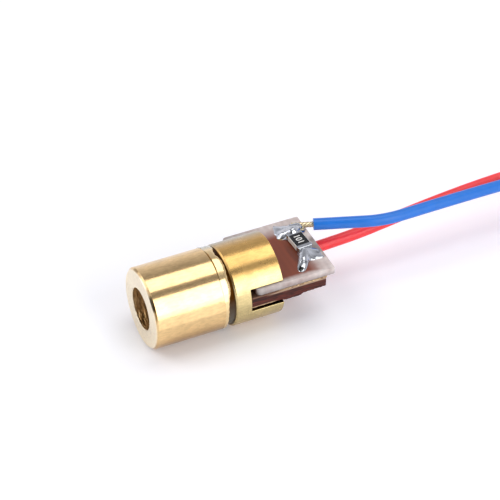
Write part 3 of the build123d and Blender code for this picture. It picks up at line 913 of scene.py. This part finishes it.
class MODULE_OT_solder_joints(bpy.types.Operator):
    """Solder at the resistor's two ends and at the red lead"""
    bl_idname = "module.solder_joints"
    bl_label = "Solder joints"

    # Outlines and bumps in millimetres from the middle of the resistor: x, y and then height and spread
    far_outline = [
        (0.5, -0.3), (0.58, -0.8), (1.25, -1.1), (1.28, -1.9), (0.95, -2.75), (0.35, -2.6), (-0.5, -2.4),
        (-1.2, -2.1), (-1.28, -1.4), (-0.6, -0.85), (-0.5, -0.3),
    ]
    far_bumps = [
        (0.3, -1.1, 0.5, 0.38), (-0.4, -1.1, 0.5, 0.38), (0.95, -1.45, 0.22, 0.22), (0.85, -2.2, 0.08, 0.3),
        (-0.2, -2.0, 0.24, 0.25), (-0.6, -1.86, 0.3, 0.28), (-1.02, -1.68, 0.44, 0.24),
    ]
    near_outline = [
        (0.5, 0.68), (0.72, 1.3), (1.52, 2.8), (1.02, 3.18), (0.2, 2.2), (-0.45, 2.15), (-1.1, 2.2),
        (-1.12, 1.1), (-0.6, 0.7),
    ]
    near_bumps = [
        (0.05, 0.95, 0.24, 0.28), (0.1, 1.5, 0.16, 0.34), (0.5, 1.4, 0.18, 0.36), (0.42, 2.15, 0.14, 0.34),
        (0.82, 2.0, 0.16, 0.34), (-0.4, 0.95, 0.16, 0.22), (-0.7, 1.95, -0.06, 0.35),
    ]
    far_centre, near_centre = (0.25, -1.4), (0.15, 1.4)
    thickness = 0.15 * MM

    def execute(self, context):
        colours = values(context).colours
        solder = tin_solder(colours.solder)
        far = self.puddle(self.far_outline, self.far_centre, self.far_bumps, seed=0.4)
        make_piece("far_solder_joint", [far], solder, ["far_solder"], sharp=80)
        near = self.puddle(self.near_outline, self.near_centre, self.near_bumps, seed=2.1)
        make_piece("near_solder_joint", [near], solder, ["near_solder"], sharp=80)
        tinned = plain_metal("Copper pad, tinned", colours.solder, roughness=0.25, grain_mm=0.2,
                             relief_mm=0.004)
        for node in ("far_pad", "near_pad"):
            dress_node(node, tinned)
        dress_node("red_solder", solder)
        return {"FINISHED"}

    def puddle(self, outline, centre, bumps, seed):
        """A mound on the board whose outline, centre and bumps are given from the resistor's middle."""
        middle = np.array(resistor_place[:2])
        bumps = MM * np.array(bumps)
        bumps[:, :2] += middle
        outline, centre = middle + MM * np.array(outline), middle + MM * np.array(centre)
        return mound(outline, centre, self.thickness, bumps, board_high.z, seed)


class MODULE_OT_leads(bpy.types.Operator):
    """Blue and red lead with their hank, tips and tie"""
    bl_idname = "module.leads"
    bl_label = "Leads"

    # Routes in millimetres, from the stripped end at the board to the hank
    blue_route = [
        (-7.98, -1.89, 4.89), (-10.36, -1.05, 4.89), (-13.26, -0.11, 4.81), (-16.46, -0.22, 4.75),
        (-19.86, -0.3, 4.7), (-23.26, -0.41, 4.59), (-26.7, -0.5, 4.43), (-29.9, -0.62, 4.26),
        (-32.3, -0.7, 4.15), (-34.0, -0.7, 4.15),
    ]
    red_route = [
        (-6.86, -1.47, 2.805), (-9.26, -1.55, 2.805), (-12.06, -1.65, 2.87), (-15.06, -1.77, 3.19),
        (-18.26, -1.91, 3.47), (-21.66, -2.07, 3.65), (-25.06, -2.06, 3.85), (-28.6, -1.93, 4.02),
        (-32.0, -1.7, 4.15), (-34.0, -1.7, 4.15),
    ]
    # Middle of the hank's front folds and length of its straight runs, in millimetres, and the steps in each
    fold_centre = (-34.0, 2.2)
    straight_run = 7.0
    run_steps, fold_steps = 4, 12
    # Lengths of conductor at the board, and how deep every bare end sits in its insulation
    blue_strip, red_strip, sunk = 1.8 * MM, 1.9 * MM, 0.2 * MM

    def execute(self, context):
        size, colours = values(context).leads, values(context).colours
        strands = plain_metal("Copper strands, tinned", "d6c49f", roughness=0.24, grain_mm=0.12,
                              relief_mm=0.003)
        blue_pvc, red_pvc = (
            plain_coat(name, base, roughness=0.32, grain_mm=0.7, contrast=0.08)
            for name, base in (("Blue PVC, extruded", colours.blue), ("Red PVC, extruded", colours.red))
        )
        blue_line = self.lead_line(self.blue_route, size, size.blue_radius, half_turns=6, even_turns=2.4)
        red_line = self.lead_line(self.red_route, size, size.red_radius, half_turns=5, even_turns=2.3)
        blue = self.insulation("blue_lead", blue_line, size, blue_pvc, "blue_pvc",
                               ["blue_wire", "blue_tail", "lead_hank"])
        red = self.insulation("red_lead", red_line, size, red_pvc, "red_pvc",
                              ["red_wire", "red_tail", "lead_hank"])
        blue_tip = self.bare_end("blue_lead_tip", blue_line[::-1], size.tip, size, strands, "blue_tip")
        red_tip = self.bare_end("red_lead_tip", red_line[::-1], size.tip, size, strands, "red_tip")
        self.bare_end("blue_bare_end", blue_line, self.blue_strip, size, strands, "blue_conductor")
        self.bare_end("red_bare_end", red_line, self.red_strip, size, strands, "red_conductor")
        tape = plain_coat("White tape, satin", "e6e5e1", roughness=0.5, grain_mm=0.3, contrast=0.06)
        tie = make_piece("hank_tape", [self.tape_wrap(size)], tape, ["lead_tie"])
        return {"FINISHED"}

    def lead_line(self, route, size, radius, half_turns, even_turns):
        """Control points of a lead: its route, its turns in the hank and its tail.

        Each half turn is a straight run and a half circle, clockwise from the side at -Y. Each turn sinks by
        one pitch, and what is left of the height goes in the turns after the even ones. A quadratic spline
        runs inside its points by (3 + cos step) / 4 in the folds, so they stand out by as much.
        """
        route, run = MM * np.array(route), MM * self.straight_run
        centre = MM * np.array(self.fold_centre) - [run / 2, 0]
        fold = np.linspace(0, math.pi, self.fold_steps + 1)[:-1]
        reach = radius * 4 / (3 + math.cos(math.pi / self.fold_steps))
        straight = np.linspace(run / 2, -run / 2, self.run_steps, endpoint=False)
        x = np.concatenate([straight, -run / 2 - reach * np.sin(fold)])
        y = np.concatenate([np.full(self.run_steps, -radius), -reach * np.cos(fold)])
        side = np.tile([1, -1], half_turns)[:half_turns, None]
        plan = np.stack([(side * x).ravel(), (side * y).ravel()], axis=-1)
        last = -side[-1, 0]
        plan = np.concatenate([plan, [(last * run / 2, -last * radius)]])
        steps = np.linalg.norm(np.diff(plan, axis=0), axis=1)
        turn = np.concatenate([[0], np.cumsum(steps)]) / steps.sum() * half_turns / 2
        top, floor_height = route[-1, 2], size.diameter / 2
        low = top - size.pitch * even_turns
        left = np.clip((turn - even_turns) / (half_turns / 2 - even_turns), 0, 1)
        height = top - size.pitch * np.minimum(turn, even_turns) - left * (low - floor_height)
        hank = np.column_stack([plan + centre, height])
        along = last * np.array([0, -run / 2, -run / 2 - size.tail])
        tail = np.stack([along, np.full(3, -last * radius), np.full(3, floor_height)], axis=-1)
        return np.concatenate([route[:-1], hank, tail + [*centre, 0]])

    def insulation(self, name, line, size, material, slot, nodes):
        """A round tube on one smooth quadratic spline."""
        curve = bpy.data.curves.new(name, "CURVE")
        curve.dimensions = "3D"
        spline = curve.splines.new("NURBS")
        spline.points.add(len(line) - 1)
        spline.points.foreach_set("co", np.column_stack([line, np.ones(len(line))]).ravel())
        spline.order_u = 3
        spline.use_endpoint_u = True
        spline.resolution_u = 10
        curve.bevel_depth = size.diameter / 2
        curve.bevel_resolution = 8
        curve.use_fill_caps = True
        curve.materials.append(material)
        return place_piece(bpy.data.objects.new(name, curve), nodes)

    def bare_end(self, name, line, reach, size, material, node):
        """The conductor that stands out of a lead's end, in line with its last run."""
        way = (line[0] - line[1]) / np.linalg.norm(line[0] - line[1])
        tube = stranded(line[0] - self.sunk * way, line[0] + reach * way, size.conductor / 2)
        return make_piece(name, [tube], material, [node], sharp=60)

    def tape_wrap(self, size):
        """A strip carried one and a quarter times round the hank's waist.

        The path is a rounded four-sided loop across the module, and on its second lap it lies one tape
        thickness further out. The strip's own section is an oval box across the path.
        """
        middle = (tie_low + tie_high) / 2
        slack, lift, bend, half_width, laps = 0.05 * MM, 0.02 * MM, 0.5 * MM, 1.0 * MM, 1.25
        outer = size.red_radius + size.diameter / 2 + slack
        low, high, lower = lift + size.tape, 4.42 * MM, 3.85 * MM
        corners = [(-outer, low), (outer, low), (outer, lower), (-outer, high)]
        path, ways = rounded(corners, bend, steps=10)
        order = (np.arange(round(laps * len(path)) + 1) + len(path) // 2) % len(path)
        lap = np.clip((np.arange(len(order)) - len(path) + 3) / 3, 0, 1)[:, None]
        path, ways = path[order] + ways[order] * lap * size.tape, ways[order]
        angle = np.linspace(0, 2 * math.pi, 24, endpoint=False)
        thick = size.tape / 2 * np.sign(np.sin(angle)) * np.abs(np.sin(angle)) ** 0.4
        wide = half_width * np.sign(np.cos(angle)) * np.abs(np.cos(angle)) ** 0.15
        spot = path[:, None] + ways[:, None] * (size.tape / 2 + thick)[None, :, None]
        across = wide + 0 * spot[..., 0]
        return capped(np.stack([middle.x + across, middle.y + spot[..., 0], spot[..., 1]], axis=-1))


class MODULE_OT_stage(bpy.types.Operator):
    """Floor, studio light and camera"""
    bl_idname = "module.stage"
    bl_label = "Stage"

    # Each soft box: the angle up from the near side and half its width, in degrees, its middle and length
    # along X in metres, and its radiance
    boxes = {
        "near_softbox": (34.5, 22.5, -0.107, 0.13, 3.0),
        "low_softbox": (6.0, 6.0, -0.107, 0.13, 1.9),
        "overhead_softbox": (97.5, 19.0, -0.107, 0.19, 2.2),
        "front_softbox": (97.0, 26.0, 0.26, 0.24, 2.0),
    }
    box_distance = 0.32
    # White card that lies on the near side: its middle, its size and its radiance
    card_place = (-0.02, 0.064, 0.0005)
    card_size = (0.08, 0.112)
    card_radiance = 0.4
    # Half the length of the floor's sides, and how much it glows
    floor_reach, floor_lift = 3.0, 0.1
    # Two black flags and a window in the room: the direction, the cosines where each begins and is full,
    # and its strength
    flags = [
        ((0.317, 0.694, 0.646), 0.93, 0.97, 0.1),
        ((0.944, 0.21, 0.25), 0.95, 0.975, 0.08),
        ((0.762, -0.501, 0.41), 0.94, 0.985, 2.2),
    ]
    # Colour of the room's light, the heights between which it dims, and its strengths there
    room_colour = (0.945, 0.955, 1.04)
    room_dims = (0.12, 0.86, 1.1, 0.36)
    # Where the photograph's camera stands, which way it looks, and its lens
    camera_place = (51.49 * MM, 116.61 * MM, 114.44 * MM)
    azimuth, elevation = math.radians(155.49), math.radians(40.256)
    lens, sensor = 158.4, 36.0

    def execute(self, context):
        self.floor()
        self.world(context)
        for name, box in self.boxes.items():
            self.softbox(context, name, *box)
        self.panel(context, "white_card", -90, self.card_place, self.card_size, self.card_radiance)
        self.camera(context)
        context.scene.view_settings.view_transform = "Standard"
        return {"FINISHED"}

    def floor(self):
        """A plain white paper sheet, matt all over, that glows a little to the eye and in mirrors."""
        reach = self.floor_reach
        mesh = bpy.data.meshes.new("floor")
        corners = [(-reach, -reach, 0), (reach, -reach, 0), (reach, reach, 0), (-reach, reach, 0)]
        mesh.from_pydata(corners, [], [(0, 1, 2, 3)])
        material, tree = new_material("Paper sheet, white")
        rays = add(tree, "LightPath").outputs
        seen = rays["Is Camera Ray"]
        for ray in ("Is Glossy Ray", "Is Transmission Ray"):
            seen = add(tree, "Math", seen, rays[ray], operation="ADD", use_clamp=True)
        lift = add(tree, "Math", seen, self.floor_lift, operation="MULTIPLY")
        glow = add(tree, "Emission", Color="ffffff", Strength=lift)
        paper = add(tree, "BsdfDiffuse", Color="fafafc")
        add(tree, "OutputMaterial", add(tree, "AddShader", paper, glow))
        mesh.materials.append(material)
        sheet = bpy.data.objects.new("floor", mesh)
        bpy.context.scene.collection.objects.link(sheet)

    def world(self, context):
        """A pale room, bright near the horizon and dimmer overhead, with two black flags and a window."""
        world = bpy.data.worlds.new("pale_room")
        world.use_nodes = True
        tree = world.node_tree
        tree.nodes.clear()
        way = add(tree, "TexCoord").outputs["Generated"]
        height = add(tree, "SeparateXYZ", way).outputs["Z"]
        strength = add(tree, "MapRange", height, *self.room_dims)
        for flag, begins, full, change in self.flags:
            toward = add(tree, "VectorMath", way, flag, operation="DOT_PRODUCT")
            shade = add(tree, "MapRange", toward, begins, full, 1.0, change)
            strength = add(tree, "Math", strength, shade, operation="MULTIPLY")
        light = add(tree, "Background", Color=self.room_colour, Strength=strength)
        add(tree, "OutputWorld", light)
        context.scene.world = world

    def softbox(self, context, name, up, half_width, middle, span, radiance):
        """A panel that faces the module's axis, at an angle up from the near side."""
        width = 2 * self.box_distance * math.tan(math.radians(half_width))
        way = Vector((0, math.cos(math.radians(up)), math.sin(math.radians(up))))
        place = self.box_distance * way + Vector((middle, 0, axis_height))
        self.panel(context, name, up, place, (span, width), radiance)

    def panel(self, context, name, up, place, size, radiance):
        """An even light panel that shows in the brass but not to the camera."""
        light = bpy.data.lights.new(name, "AREA")
        light.shape = "RECTANGLE"
        light.size, light.size_y = size
        light.energy = radiance * math.pi * light.size * light.size_y
        box = bpy.data.objects.new(name, light)
        cosine, sine = math.cos(math.radians(up)), math.sin(math.radians(up))
        turn = Matrix(((1, 0, 0), (0, sine, cosine), (0, -cosine, sine)))
        box.matrix_world = Matrix.Translation(place) @ turn.to_4x4()
        box.visible_camera = False
        context.scene.collection.objects.link(box)

    def camera(self, context):
        """The photograph's view: no roll, and the lens of a 500 pixel wide frame."""
        lens = bpy.data.cameras.new("camera")
        lens.lens, lens.sensor_width = self.lens, self.sensor
        lens.clip_start, lens.clip_end = 0.01, 10
        flat, up = math.cos(self.elevation), math.sin(self.elevation)
        back = Vector((math.sin(self.azimuth) * flat, -math.cos(self.azimuth) * flat, up))
        camera = bpy.data.objects.new("camera", lens)
        camera.rotation_mode = "QUATERNION"
        camera.location = self.camera_place
        camera.rotation_quaternion = (-back).to_track_quat("-Z", "Y")
        context.scene.collection.objects.link(camera)
        context.scene.camera = camera


class MODULE_PT_panel(bpy.types.Panel):
    """The module's pieces in order"""
    bl_idname = "MODULE_PT_panel"
    bl_label = "Laser diode module"
    bl_space_type = "VIEW_3D"
    bl_region_type = "UI"
    bl_category = "Laser module"

    def draw(self, context):
        for operator in OPERATORS:
            self.layout.operator(operator.bl_idname)


OPERATORS = (
    MODULE_OT_leads,
    MODULE_OT_lens_barrel,
    MODULE_OT_diode_holder,
    MODULE_OT_joint_adhesive,
    MODULE_OT_board_stack,
    MODULE_OT_laser_chip,
    MODULE_OT_chip_resistor,
    MODULE_OT_solder_joints,
    MODULE_OT_stage,
)
CLASSES = (BrassSizes, BoardSizes, LeadSizes, ModuleColours, ModuleSettings, *OPERATORS, MODULE_PT_panel)


def register():
    for item in CLASSES:
        bpy.utils.register_class(item)
    bpy.types.Scene.laser_module = PointerProperty(type=ModuleSettings)


def unregister():
    del bpy.types.Scene.laser_module
    for item in reversed(CLASSES):
        bpy.utils.unregister_class(item)


def main():
    register()
    for operator in OPERATORS:
        group, name = operator.bl_idname.split(".")
        getattr(getattr(bpy.ops, group), name)()


if __name__ == "__main__":
    main()
